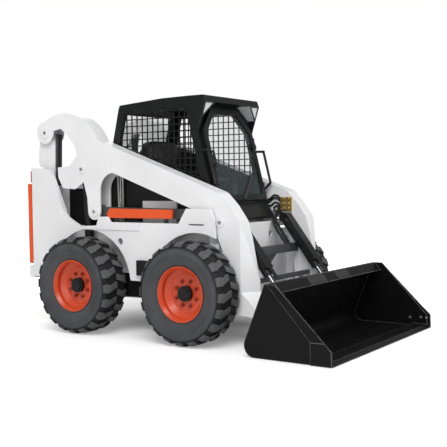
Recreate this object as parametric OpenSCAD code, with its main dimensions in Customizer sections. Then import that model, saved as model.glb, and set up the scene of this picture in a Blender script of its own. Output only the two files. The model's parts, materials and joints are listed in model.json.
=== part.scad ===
// Skid steer loader with vertical lift arms, cab, quick coupler and dirt bucket.
// All coordinates are measured from the front axle, then moved to the middle of the machine.

/* [Reach] */
// Rear door face behind the front axle
rear_reach = 1900; // [1850:5:2000]
// Cutting edge ahead of the front axle
edge_reach = 1340; // [1250:5:1450]

/* [Wheels] */
// Distance between the axles
wheelbase = 1140; // [1100:5:1200]
// Tyre radius over the lugs
tyre_r = 410; // [395:1:420]
// Tyre width
tyre_w = 290; // [260:2:300]
// Tyre middle plane from the centre line
track_half = 760; // [755:1:775]
// Bead seat radius of the rim
seat_r = 206; // [200:1:212]
// Rim flange radius
flange_r = 219; // [214:1:226]
// Rim width over the flanges
rim_w = 236; // [220:2:250]
// Rim sheet thickness
rim_t = 12; // [8:1:14]
// Depth of the disc face below the flange face
dish = 92; // [80:2:105]
// Depth at which the disc's cone leaves the rim barrel
cone_dish = 60; // [50:2:70]
// Radius of the flat part of the disc
disc_r = 150; // [144:1:160]
// Height of the tread lugs
lug_h = 20; // [16:1:24]
// Lugs on each half of the tread
lug_count = 20; // [16:1:22]
// Width of a lug along the tread
lug_w = 50; // [38:1:54]
// Wheel stud circle diameter
stud_pcd = 203.2; // [190:0.1:215]
// Number of wheel studs
stud_count = 8; // [6:1:10]
// Stud hole radius
stud_hole_r = 9; // [7:0.5:10]
// Hub flange radius
hub_flange_r = 125; // [118:1:135]
// Hub nose radius
hub_nose_r = 62; // [55:1:70]
// Axle spindle radius
spindle_r = 35; // [30:1:40]
// Axle tube radius
axle_tube_r = 60; // [50:1:70]

/* [Frame] */
// Half width over the tub walls
tub_half = 450; // [445:1:455]
// Tub wall thickness
wall_t = 20; // [12:1:22]
// Underside of the belly pan
belly_z = 290; // [260:5:320]
// Belly pan thickness
belly_t = 15; // [10:1:20]
// Top of the tub walls under the cab
sill_z = 930; // [900:5:935]
// Top of the engine bay walls
bay_z = 1280; // [1250:5:1285]
// Bulkhead front face behind the front axle
bulkhead_x = 1085; // [1080:1:1090]
// Front plate face ahead of the front axle
nose_x = 115; // [100:1:120]
// Half width over the chain cases
chain_half = 560; // [550:1:575]
// Top of the chain cases
chain_z = 520; // [500:5:530]
// Inner face of the side rails
rail_in = 640; // [635:1:645]
// Side rail thickness
rail_t = 20; // [15:1:25]
// Proud step of the rail's upper band
band_t = 8; // [5:1:10]
// Lower edge of the rail's upper band
band_z = 880; // [870:1:890]
// Top of the rail's front tower
tower_z = 1066; // [1062:1:1070]
// Thickness of the frame's cross plates
frame_t = 15; // [12:1:18]
// Half width over the front wings
wing_half = 600; // [580:2:605]
// Top of the front wings
wing_z = 860; // [820:5:870]
// Height of the shelves over the wheels
shelf_z = 880; // [870:1:890]
// Underside of the rear bumper
bumper_z = 420; // [400:5:430]
// Height of the rear bumper
bumper_h = 110; // [90:2:115]
// Half width of the rear door and the bumper
tail_half = 640; // [620:2:642]
// Rear door thickness
tail_t = 50; // [44:1:52]
// Rear door sheet thickness
tail_sheet = 10; // [6:1:12]
// Height of the rear door
tail_h = 725; // [700:5:730]
// Height of a cooling slot
slot_h = 20; // [14:1:24]
// Pitch of the cooling slots
slot_pitch = 48; // [44:1:56]
// Engine length
engine_len = 520; // [480:5:540]
// Engine width
engine_w = 520; // [480:5:540]
// Engine cover thickness
cover_t = 25; // [20:1:30]
// Inner face of the thick rear uprights
post_in = 616; // [614:1:620]
// Wheel arch radius in the side rails
arch_cut_r = 466; // [440:2:470]
// Top edge of the side rails
rail_z = 945; // [935:5:955]
// Rear door face behind the uprights
door_stand = 75; // [70:1:80]
// Top of the rear uprights
post_z = 1418; // [1400:2:1430]

/* [Lift linkage] */
// Lift arm inner face
arm_in = 465; // [463:1:470]
// Lift arm outer face
arm_out = 605; // [595:1:607]
// Plate thickness of the arm's rear end
plate_t = 12; // [10:1:16]
// Linkage pin radius
pin_r = 25; // [20:1:28]
// Half thickness of the links
link_half = 35; // [28:1:38]
// Control link frame pin, behind the front axle
pin_d_x = -90; // [-95:1:-85]
// Control link frame pin height
pin_d_z = 1016; // [1012:1:1020]
// Control link arm pin
pin_c_x = -1120; // [-1125:1:-1115]
// Control link arm pin height
pin_c_z = 1030; // [1025:1:1035]
// Rear link arm pin
pin_b_x = -1700; // [-1705:1:-1695]
// Rear link arm pin height
pin_b_z = 1734; // [1730:1:1740]
// Rear link frame pin
pin_a_x = -1690; // [-1695:1:-1685]
// Rear link frame pin height
pin_a_z = 1150; // [1145:1:1155]
// Bucket hinge pin
pin_p_x = 590; // [588:1:595]
// Bucket hinge pin height
pin_p_z = 215; // [212:1:220]
// Lift cylinder base pin
pin_e_x = -1240; // [-1245:1:-1235]
// Lift cylinder base pin height
pin_e_z = 620; // [615:1:625]
// Lift cylinder rod pin
pin_f_x = -1262; // [-1266:1:-1258]
// Lift cylinder rod pin height
pin_f_z = 1400; // [1395:1:1405]
// Lift cylinder barrel radius
lift_barrel_r = 42; // [38:1:46]
// Lift cylinder rod radius
lift_rod_r = 24; // [20:1:26]
// Eye radius of the control link at the frame
link_eye_r = 42; // [40:1:44]
// Hose radius at the rear links
hose_r = 16; // [12:1:18]

/* [Lift arms] */
// Radius of the arched rear end of the arm
arch_r = 457; // [450:1:462]
// Elbow corner ahead of the front axle
elbow_x = 195; // [188:1:202]
// Fall of the boom toward the elbow, height over length
boom_fall = 0.3603; // [0.35:0.0001:0.37]
// Depth of the boom
boom_depth = 222; // [216:1:228]
// Boom underside above the control link's frame pin
boom_gap = 53.4; // [50:0.1:57]
// Bevel of the leg's outer front edge
leg_bevel = 33.7; // [30:0.1:36]
// Distance of the bevel plane from the front axle's middle
leg_cut = 657; // [652:1:662]
// Pin cap height
cap_t = 6; // [4:1:6]
// Boss radius at the bucket hinge
boss_p_r = 46; // [42:1:47]
// Boss radius at the control link
boss_c_r = 72; // [66:1:76]
// Boss radius at the rear link
boss_b_r = 100; // [95:1:104]

/* [Tilt] */
// Tilt cylinder plane from the centre line
tilt_y = 400; // [398:1:402]
// Tilt cylinder base pin
pin_t_x = 200; // [196:1:204]
// Tilt cylinder base pin height
pin_t_z = 960; // [955:1:965]
// Tilt cylinder rod pin
pin_u_x = 600; // [596:1:604]
// Tilt cylinder rod pin height
pin_u_z = 430; // [426:1:434]
// Tilt cylinder barrel radius
tilt_barrel_r = 40; // [36:1:42]
// Tilt cylinder rod radius
tilt_rod_r = 20; // [17:1:22]
// Tilt cylinder guard plate thickness
guard_t = 6; // [4:1:8]
// Half width over the tilt cylinder guard
guard_half = 48; // [47:1:50]
// Half width of the guard's tongue between the coupler lugs
tongue_half = 24; // [20:1:25]

/* [Bucket] */
// Bucket half width over the side cutters
bucket_half = 942; // [930:1:950]
// Side cutter thickness
cutter_t = 12; // [8:1:14]
// Bucket plate thickness
shell_t = 10; // [8:1:14]
// Underside of the bucket floor
floor_z = 4; // [2:1:10]
// Heel bend radius
heel_r = 85; // [80:1:92]
// Heel bend centre ahead of the front axle
heel_x = 705; // [700:1:712]
// Forward lean of the bucket back
back_lean = 22; // [20:0.5:24]
// Height of the bucket back above the heel bend
back_len = 457; // [440:1:470]
// Fall of the bucket's top lip
lip_fall = 66; // [56:1:74]
// Reach of the bucket's top lip
lip_reach = 80; // [70:1:86]
// Thickness of the band along the bucket sides
band_side_t = 7; // [5:1:8]
// Coupler plate thickness
coupler_t = 16; // [12:1:18]
// Coupler half width
coupler_half = 600; // [560:5:606]

/* [Cab] */
// Half width over the cab
cab_half = 420; // [410:1:422]
// Cab panel thickness
cab_t = 20; // [12:1:24]
// Underside of the cab
cab_low = 950; // [945:1:960]
// Cab front face at the underside
cab_front_x = 46; // [42:1:50]
// Rearward lean of the cab front
front_lean = 14.4; // [13.8:0.1:14.8]
// Cab roof height
roof_z = 1988; // [1980:1:1996]
// Underside of the roof visor
visor_z = 1935; // [1930:1:1940]
// Front edge of the roof visor
visor_x = -64; // [-70:1:-58]
// Reach of the front sill
sill_reach = 34; // [28:1:38]
// Thickness of the cheeks beside the work lamps
cheek_t = 12; // [8:1:12]
// Rise of the cheeks' lower end
cheek_z = 1690; // [1680:1:1700]
// Rearward lean of the work lamps over their height
lamp_lean = 39; // [34:1:44]
// Work lamp width
lamp_w = 130; // [120:2:135]
// Work lamp height
lamp_h = 121; // [110:1:125]
// Grab handle tube radius
grab_r = 11; // [9:1:12]
// Cab rear face
cab_rear_x = -1056; // [-1060:1:-1050]
// Cab tilt pin
pin_k_x = -1030; // [-1034:1:-1026]
// Cab tilt pin height
pin_k_z = 1360; // [1355:1:1365]
// Door frame thickness
door_t = 30; // [24:1:34]
// Half width of the door
door_half = 372; // [366:1:376]
// Underside of the door above the cab underside, along the front
door_low = 165; // [160:1:175]
// Gap between the door and the visor
door_gap = 14; // [12:1:18]
// Cut of the door's upper corners, across
door_cut_y = 175; // [165:1:185]
// Cut of the door's upper corners, down
door_cut_z = 190; // [180:1:200]
// Width of the door frame bars
door_bar = 48; // [36:1:60]
// Screen bar width
mesh_bar = 9; // [6:1:12]
// Screen bar pitch
mesh_pitch = 57; // [50:1:70]

/* [Clearance] */
// Gap between curved faces of fixed parts
curve_gap = 0.3; // [0.2:0.1:0.5]
// Radial gap of running pins
run_gap = 0.05; // [0.02:0.01:0.1]
// Gap beside moving parts
side_gap = 6; // [5:0.5:8]

/* [Hidden] */
$fn = 64;
mid_x = (edge_reach - rear_reach) / 2;
post_x = rear_reach - door_stand;
tub_back = -rear_reach + 100;
rail_out = rail_in + rail_t;
tail_z = bumper_z + bumper_h + 20;
engine_x = -bulkhead_x - frame_t - 80 - engine_len;
elbow_z = pin_d_z + boom_gap + boom_depth - boom_fall * (elbow_x - pin_d_x);
arch_c = [pin_b_x + 230, pin_b_z - 294];
boom_x = arch_c[0] + 570;
axle_z = tyre_r;
lift_mid = (arm_in + arm_out) / 2;
lift_len = norm([pin_f_x - pin_e_x, pin_f_z - pin_e_z]);
lift_dir = atan2(pin_f_x - pin_e_x, pin_f_z - pin_e_z);
tilt_len = norm([pin_u_x - pin_t_x, pin_u_z - pin_t_z]);
tilt_dir = atan2(pin_u_x - pin_t_x, pin_u_z - pin_t_z);
heel_z = floor_z + heel_r;
back_x0 = heel_x - heel_r * cos(back_lean);
back_z0 = heel_z + heel_r * sin(back_lean);
back_top = [back_x0 + back_len * sin(back_lean), back_z0 + back_len * cos(back_lean)];
front_run = tan(front_lean);
knuckle_h = 70;
knuckle_r = 13;
hinge_r = 7;
rear_axis = [-rear_reach + tail_t / 2, tail_half + 16];
rear_hinges = [680, 1080];
cover_axis = [-bulkhead_x - 41, bay_z + side_gap + cover_t / 2];
door_axis = [side_gap + door_t / 2, door_half + 14];
door_hinges = [door_low + 65, door_low + 475];
visor_up = (cab_front_x - visor_x) * sin(front_lean) + (visor_z - cab_low) * cos(front_lean);
door_h = visor_up - door_gap - door_low;
grab_y = cab_half + 12;
lamp_y = cab_half - cheek_t;
bar_axis = [-860, 1400];
bar_end = [-360, 1290];
bar_pin_r = 12;
pin_k_r = 16;
cover_hinge_y = 280;

// points on a circle
function arc(c, r, a0, a1, n) = [for (i = [0:n])
  c + r * [cos(a0 + (a1 - a0) * i / n), sin(a0 + (a1 - a0) * i / n)]];
// boom edges, straight lines behind the elbow
function boom_top(x) = elbow_z - boom_fall * (x - elbow_x);
function boom_low(x) = boom_top(x) - boom_depth;
// cab front plane at a height
function front_at(z) = cab_front_x - (z - cab_low) * front_run;
// from machine coordinates to the bucket back's own frame
function to_back(p) = [(p[0] - back_x0) * cos(back_lean) - (p[1] - back_z0) * sin(back_lean),
  (p[0] - back_x0) * sin(back_lean) + (p[1] - back_z0) * cos(back_lean)];

// the whole machine stands centred on the origin
module place() {
  translate([-mid_x, 0, 0]) children();
}

// a side view outline between two planes across the machine
module across(y0, y1) {
  translate([0, y1, 0]) rotate([90, 0, 0]) linear_extrude(y1 - y0) children();
}

// the same on both sides
module both() {
  children();
  mirror([0, 1, 0]) children();
}

// a pin across the machine
module pin(x, z, r, y0, y1) {
  translate([x, y1, z]) rotate([90, 0, 0]) cylinder(r = r, h = y1 - y0);
}

// the bucket back plane, local z runs up the back
module on_back() {
  translate([back_x0, 0, back_z0]) rotate([0, back_lean, 0]) children();
}

// the cab front plane, local z runs up the front
module on_front() {
  translate([cab_front_x, 0, cab_low]) rotate([0, -front_lean, 0]) children();
}

// a bar with round ends between two points of the side view
module bar_2d(p, q, w) {
  len = norm(q - p);
  ang = atan2(q[1] - p[1], q[0] - p[0]);
  translate(p) rotate(ang) translate([0, -w / 2]) square([len, w]);
}

module main_frame() {
  color("white") place() {
    difference() {
      union() {
        // belly pan
        translate([tub_back, -tub_half, belly_z]) cube([nose_x - tub_back, 2 * tub_half, belly_t]);
        // tub walls with the ears of the control link pin and of the cab tilt pin, raised beside the cab
        both() across(tub_half - wall_t, tub_half) polygon([[tub_back, belly_z], [nose_x, belly_z],
          [nose_x, sill_z], [pin_d_x + 60, sill_z], [pin_d_x + 50, pin_d_z + 45],
          [pin_d_x - 50, pin_d_z + 45], [pin_d_x - 70, sill_z], [-346, sill_z], [-346, 1120], [-705, 1120],
          [-705, sill_z], [pin_k_x + 60, sill_z], [pin_k_x + 40, pin_k_z + 45],
          [pin_k_x - 40, pin_k_z + 45], [-bulkhead_x - frame_t, bay_z], [tub_back, bay_z]]);
        // front plate and its wings in front of the chain cases
        translate([nose_x - frame_t, -tub_half, belly_z]) cube([frame_t, 2 * tub_half, sill_z - belly_z]);
        translate([nose_x - frame_t, -wing_half, belly_z + 10])
          cube([frame_t, 2 * wing_half, wing_z - belly_z - 10]);
        both() translate([nose_x - frame_t, wing_half - 12, belly_z + 10]) cube([80, 12, 490]);
        // bulkhead in front of the engine
        translate([-bulkhead_x - frame_t, -tub_half, belly_z])
          cube([frame_t, 2 * tub_half, bay_z - belly_z]);
        // rear cross plate and bumper
        translate([tub_back, -tub_half, belly_z]) cube([frame_t, 2 * tub_half, 240]);
        translate([-rear_reach, -tail_half, bumper_z]) cube([door_stand, 2 * tail_half, bumper_h]);
        translate([-rear_reach, -tub_half, bumper_z]) cube([rear_reach + tub_back, 2 * tub_half, bumper_h]);
        // chain cases
        both() translate([-1235, tub_half - wall_t, belly_z + 10])
          cube([1235 + nose_x - 5, chain_half - tub_half + wall_t, chain_z - belly_z - 10]);
        // engine cover hinge ears
        both() for (e = [-16, knuckle_h + 2]) translate([cover_axis[0] - 8, cover_hinge_y + e, bay_z - 20])
          cube([-bulkhead_x - cover_axis[0] + 8, 14, 20 + side_gap + 20]);
        both() pin(cover_axis[0], cover_axis[1], hinge_r, cover_hinge_y - 16, cover_hinge_y + knuckle_h + 16);
        // lift cylinder base pins
        both() pin(pin_e_x, pin_e_z, pin_r, tub_half - wall_t, lift_mid + 50);
      }
      // bores of the cab tilt pins
      both() pin(pin_k_x, pin_k_z, pin_k_r + run_gap, tub_half - wall_t - 1, tub_half + 1);
      // tie-down holes at the front
      both() translate([nose_x - frame_t - 1, 300, 820]) rotate([0, 90, 0]) cylinder(r = 30, h = frame_t + 2);
    }
  }
}

// outline of the rear upright's slanted front edge
function post_pts() = [[-post_x, bumper_z + 20], [-post_x, post_z], [-post_x + 220, post_z - 12],
  [-post_x + 290, 1255], [-post_x + 385, 1044]];

// outline of the side rail with the rear upright and the front tower
module rail_2d() {
  difference() {
    polygon(concat(post_pts(), [[-1370, 975], [-1235, 905], [-1040, 912], [-1015, 990], [-920, 990],
      [-890, rail_z], [pin_d_x - 76, rail_z], [pin_d_x - 66, rail_z + 18], [pin_d_x, tower_z],
      [nose_x + 25, tower_z], [nose_x + 65, 985], [nose_x + 70, 900], [nose_x + 80, 800], [-460, 460],
      [-680, 460],
      [-post_x + 425, bumper_z + 20]]));
    circle_at(0);
    circle_at(-wheelbase);
    // slot below the tower and a hole over the rear wheel
    translate([pin_d_x + 22, 934]) square([150, 12]);
    translate([-782, 784]) circle(r = 28);
  }
}

module circle_at(x) {
  translate([x, axle_z]) circle(r = arch_cut_r);
}

// the left side panel
module side_panel() {
  across(rail_in, rail_out) rail_2d();
  // proud upper band
  across(rail_out, rail_out + band_t) polygon([[-1225, band_z], [-1225, 900], [-1044, 907], [-1020, 984],
    [-926, 984], [-896, rail_z - 4], [-567, rail_z - 4], [-567, band_z]]);
  // thick upright
  across(post_in, rail_out) difference() {
    polygon(concat(post_pts(), [[-post_x + 425, 900], [-post_x + 425, bumper_z + 20]]));
    circle_at(-wheelbase);
  }
  // shelves over the wheels
  translate([-1010, tub_half, shelf_z]) cube([1010 + nose_x - frame_t, rail_in - tub_half, frame_t]);
  translate([-post_x, tub_half, shelf_z]) cube([360, post_in - tub_half, frame_t]);
  // rear flange
  translate([-post_x, tub_half, 540]) cube([frame_t, post_in - tub_half, 830]);
  // control link pin
  pin(pin_d_x, pin_d_z, pin_r, tub_half, rail_in);
  // rear link pin
  pin(pin_a_x, pin_a_z, pin_r, tub_half, post_in);
}

module side_panel_right() {
  color("white") place() mirror([0, 1, 0]) side_panel();
}

module side_panel_left() {
  color("white") place() {
    side_panel();
    // rear door hinge ears and pins
    for (z = rear_hinges) {
      for (e = [-16, knuckle_h + 2]) translate([rear_axis[0] - 10, rear_axis[1] - 10, z + e])
        cube([-post_x - rear_axis[0] + 10, 20, 14]);
      translate([rear_axis[0], rear_axis[1], z - 16]) cylinder(r = hinge_r, h = knuckle_h + 32);
    }
  }
}

module axle_tubes() {
  color("dimgray") place() both() for (x = [0, -wheelbase]) {
    pin(x, axle_z, axle_tube_r, chain_half, track_half - 75);
    pin(x, axle_z, spindle_r, chain_half, track_half);
  }
}

module engine_block() {
  color("gray") place() {
    // block, head and fan shroud
    translate([engine_x, -engine_w / 2, belly_z + belly_t]) cube([engine_len, engine_w, 500]);
    translate([engine_x + 40, 80 - engine_w / 2, belly_z + belly_t + 400])
      cube([engine_len - 80, engine_w - 160, 420]);
    translate([engine_x - 50, 0, belly_z + belly_t + 330]) rotate([0, 90, 0]) cylinder(r = 240, h = 60);
  }
}

module control_levers() {
  color("black") place() both() {
    translate([-220, 250, belly_z + belly_t]) cylinder(r = 14, h = 900);
    translate([-220, 250, belly_z + belly_t + 840]) cylinder(r = 24, h = 110);
  }
}

module tail_lamps() {
  color("red") place() both() translate([-post_x - 20, 622, 1290]) cube([20, 32, 100]);
}

module control_links() {
  color("dimgray") place() both() across(lift_mid - link_half, lift_mid + link_half) difference() {
    union() {
      bar_2d([pin_c_x, pin_c_z], [pin_d_x, pin_d_z], 2 * link_eye_r - 4);
      translate([pin_c_x, pin_c_z]) circle(r = 58);
      translate([pin_d_x, pin_d_z]) circle(r = link_eye_r);
    }
    translate([pin_c_x, pin_c_z]) circle(r = pin_r + run_gap);
    translate([pin_d_x, pin_d_z]) circle(r = pin_r + run_gap);
  }
}

module rear_links() {
  color("white") place() both() across(lift_mid - link_half, lift_mid + link_half) difference() {
    union() {
      polygon([[pin_a_x - 60, pin_a_z], [pin_b_x - 85, pin_b_z - 120], [pin_b_x - 60, pin_b_z],
        [pin_b_x + 60, pin_b_z], [pin_b_x + 85, pin_b_z - 120], [pin_a_x + 60, pin_a_z]]);
      translate([pin_a_x, pin_a_z]) circle(r = 60);
      translate([pin_b_x, pin_b_z]) circle(r = 60);
    }
    translate([pin_a_x, pin_a_z]) circle(r = pin_r + run_gap);
  }
}

// a cylinder barrel standing on its base eye, bored for the rod
module barrel(r, bore, rod_r, eye_r, eye_half, pin_hole, low, top, gland) {
  difference() {
    union() {
      translate([0, 0, low - 20]) cylinder(r = r, h = top + gland - low + 20);
      rotate([90, 0, 0]) translate([0, 0, -eye_half]) cylinder(r = eye_r, h = 2 * eye_half);
    }
    translate([0, 0, low]) cylinder(r = bore, h = top - low);
    translate([0, 0, top - 1]) cylinder(r = rod_r + run_gap, h = gland + 2);
    rotate([90, 0, 0]) translate([0, 0, -eye_half - 1]) cylinder(r = pin_hole, h = 2 * eye_half + 2);
  }
}

// a rod with its piston and eye
module rod(r, piston_r, piston_t, low, len, eye_r, eye_half) {
  translate([0, 0, low]) cylinder(r = r, h = len - low);
  translate([0, 0, low]) cylinder(r = piston_r, h = piston_t);
  translate([0, 0, len]) rotate([90, 0, 0]) translate([0, 0, -eye_half])
    cylinder(r = eye_r, h = 2 * eye_half);
}

module lift_barrels() {
  color("black") place() both() translate([pin_e_x, lift_mid, pin_e_z]) rotate([0, lift_dir, 0])
    barrel(lift_barrel_r, lift_barrel_r - 8, lift_rod_r, 48, 34, pin_r + run_gap, 60, 650, 25);
}

module lift_rods() {
  color("silver") place() both() translate([pin_e_x, lift_mid, pin_e_z]) rotate([0, lift_dir, 0])
    rod(lift_rod_r, lift_barrel_r - 8 - run_gap, 20, 63, lift_len, 42, 34);
}

// outline of the arm's arched rear end, with the opening behind the rear link
module arm_rear_2d() {
  polygon(concat(arc(arch_c, arch_r, 137, 26, 20),
    [[boom_x, boom_top(boom_x)], [boom_x, boom_low(boom_x)]],
    arc([boom_x, boom_low(boom_x) - 147], 147, 90, 180, 8),
    [[pin_c_x + boss_c_r, pin_c_z], [pin_c_x - boss_c_r, pin_c_z], [pin_c_x - 80, pin_c_z + 120]],
    [for (p = [[230, -155], [125, -215], [-20, -205], [-75, -110], [-80, -20], [66, -12], [154, 82],
      [135, 160], [37, 268], [-34, 323], [-140, 305]]) arch_c + p],
    [[pin_b_x, pin_b_z]]));
  translate([pin_c_x, pin_c_z]) circle(r = boss_c_r);
  translate([pin_b_x, pin_b_z]) circle(r = boss_b_r);
}

// outline of the closed boom and front leg
module boom_2d() {
  difference() {
    union() {
      polygon([[boom_x, boom_top(boom_x)], [elbow_x - 20, boom_top(elbow_x - 20)], [elbow_x, elbow_z - 4],
        [elbow_x + 95, elbow_z - 100], [372, 975], [410, 850], [440, 700], [480, 500], [550, 330],
        [pin_p_x + 38, pin_p_z + 25], [pin_p_x, pin_p_z - boss_p_r], [505, 232], [385, 240], [320, 232],
        [270, 300], [262, 450], [250, 600], [215, 750], [160, 880], [70, 1000], [0, boom_low(0)],
        [boom_x, boom_low(boom_x)]]);
      translate([pin_p_x, pin_p_z]) circle(r = boss_p_r);
    }
    translate([pin_p_x, pin_p_z]) circle(r = pin_r + run_gap);
    // lifting eye in the leg
    translate([326, 424]) circle(r = 30);
  }
}

// the left lift arm
module lift_arm() {
  difference() {
    across(arm_in, arm_out) boom_2d();
    // bevelled outer front edge of the leg
    rotate([0, 0, leg_bevel]) across(-500, 1500) polygon([[leg_cut, 1000], [leg_cut, 420],
      [leg_cut + 150, 260], [leg_cut + 400, 260], [leg_cut + 400, 1000]]);
  }
  across(arm_in, arm_in + plate_t) arm_rear_2d();
  across(arm_out - plate_t, arm_out) arm_rear_2d();
  // top flange of the arch
  across(arm_in, arm_out) polygon(concat(arc(arch_c, arch_r, 126, 26, 18),
    [[boom_x + 1, boom_top(boom_x + 1)], [boom_x + 1, boom_top(boom_x + 1) - plate_t]],
    arc(arch_c, arch_r - plate_t, 26, 126, 18)));
  // control link pin
  pin(pin_c_x, pin_c_z, pin_r, arm_in, arm_out);
  // pin caps on the outer face
  for (c = [[pin_b_x, pin_b_z, 52], [pin_c_x, pin_c_z, 46], [pin_f_x, pin_f_z, 40], [pin_t_x, pin_t_z, 40]])
    pin(c[0], c[1], c[2], arm_out - 1, arm_out + cap_t);
}

module lift_arm_right() {
  color("white") place() mirror([0, 1, 0]) lift_arm();
}

module lift_arm_left() {
  color("white") place() lift_arm();
}

module arm_cross() {
  color("gray") place() {
    // upper tube with its middle gusset, and the lower bar between the legs
    translate([255, -arm_in, 665]) cube([45, 2 * arm_in, 70]);
    translate([270, 0, 0]) rotate([90, 0, 90]) linear_extrude(12)
      polygon([[-130, 670], [130, 670], [25, 590], [-25, 590]]);
    translate([385, -arm_in, 465]) cube([30, 2 * arm_in, 38]);
    // tilt cylinder stubs on the legs' inner faces
    both() pin(pin_t_x, pin_t_z, pin_r, tilt_y - 34, arm_in);
  }
}

module lift_support() {
  color("orangered") place() mirror([0, 1, 0]) {
    across(post_in, rail_in) polygon([[-947, 1015], [-912, 1061], [-245, 1055], [-250, 984], [-921, 980]]);
    // feet on the rail's inner face
    for (x = [-860, -330]) across(rail_in - 12, rail_in)
      polygon([[x, rail_z - 40], [x + 40, rail_z - 40], [x + 40, 990], [x, 990]]);
  }
}

module tilt_barrels() {
  color("black") place() both() translate([pin_t_x, tilt_y, pin_t_z]) rotate([0, tilt_dir, 0]) {
    barrel(tilt_barrel_r, tilt_barrel_r - 8, tilt_rod_r, 40, 28, pin_r + run_gap, 45, 506, 20);
    // channel guard in front of the barrel, on two blocks
    translate([-tilt_barrel_r - 7 - guard_t, -guard_half, -10]) cube([guard_t, 2 * guard_half, 490]);
    translate([-tilt_barrel_r - 7 - guard_t, -tongue_half, 479]) cube([guard_t, 2 * tongue_half, 110]);
    for (y = [-guard_half, guard_half - guard_t]) translate([-tilt_barrel_r - 7 - guard_t, y, 60])
      cube([44, guard_t, 420]);
    for (z = [100, 420]) translate([-tilt_barrel_r - 8, -18, z]) cube([14, 36, 40]);
  }
}

module tilt_rods() {
  color("silver") place() both() translate([pin_t_x, tilt_y, pin_t_z]) rotate([0, tilt_dir, 0])
    rod(tilt_rod_r, tilt_barrel_r - 8 - run_gap, 16, 146, tilt_len, 34, 24);
}

// a lug on the coupler plate reaching back to a pin
module lug(p, r, y0, y1) {
  q = to_back(p);
  across(y0, y1) {
    translate([q[0], q[1]]) circle(r = r);
    translate([q[0], q[1] - r]) square([-q[0] - coupler_t, 2 * r]);
  }
}

module quick_coupler() {
  color("dimgray") place() {
    on_back() {
      translate([-coupler_t, -coupler_half, 0]) cube([coupler_t, 2 * coupler_half, 400]);
      both() lug([pin_p_x, pin_p_z], 50, arm_in - side_gap - 12, arm_in - side_gap);
      both() lug([pin_p_x, pin_p_z], 50, arm_out + side_gap, arm_out + side_gap + 12);
      both() lug([pin_u_x, pin_u_z], 42, tilt_y + 24 + side_gap, tilt_y + 24 + side_gap + 10);
      both() lug([pin_u_x, pin_u_z], 42, tilt_y - 34 - side_gap, tilt_y - 24 - side_gap);
    }
    both() pin(pin_p_x, pin_p_z, pin_r, arm_in - side_gap - 12, arm_out + side_gap + 12);
  }
}

module bucket() {
  color("black") place() {
    inner = bucket_half - cutter_t;
    // bent shell
    across(-inner, inner) polygon(concat([[edge_reach, floor_z], [heel_x, floor_z]],
      arc([heel_x, heel_z], heel_r, 270, 180 - back_lean, 12), [back_top,
      back_top + shell_t * [cos(back_lean), -sin(back_lean)]],
      arc([heel_x, heel_z], heel_r - shell_t, 180 - back_lean, 270, 12),
      [[edge_reach - 40, floor_z + shell_t]]));
    // sides
    both() across(inner - shell_t, inner) polygon(concat([[edge_reach - 30, floor_z], [heel_x, floor_z]],
      arc([heel_x, heel_z], heel_r, 270, 180 - back_lean, 12), [back_top, [890, back_top[1]],
      [edge_reach - 40, 115]]));
    // band along the sides and the side cutters
    both() across(inner, inner + band_side_t) polygon([[edge_reach - 160, floor_z],
      [edge_reach - 160, 148], [820, back_top[1]], [886, back_top[1]],
      [edge_reach - 60, 162], [edge_reach - 60, floor_z]]);
    both() across(inner, bucket_half) polygon([[edge_reach - 5, floor_z], [edge_reach - 8, 112],
      [edge_reach - 60, 162], [edge_reach - 170, 162], [edge_reach - 170, floor_z]]);
    // box section of the top lip
    across(-inner, inner) polygon([back_top, back_top + [28, 0], back_top + [lip_reach, -lip_fall],
      back_top + [-28, -lip_fall - 18]]);
    // cutting edge
    across(-inner, inner) polygon([[edge_reach, floor_z], [edge_reach - 160, floor_z],
      [edge_reach - 160, floor_z + 26], [edge_reach - 40, floor_z + 26]]);
  }
}

// cab outline in side view, inset by a wall
function cab_pts(t, low) = [[front_at(low) - t, low], [front_at(roof_z - t) - t, roof_z - t],
  [-500, roof_z - 5 - t], [-973 + t, roof_z - 40 - t], [-988 + t, roof_z - 80 - t / 2],
  [cab_rear_x + t, 1627], [cab_rear_x + t, low]];

module screen_window_2d() {
  polygon([[-985, 1607], [-925, 1876], [front_at(1886) - 62, 1886], [front_at(1310) - 70, 1310]]);
}

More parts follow.
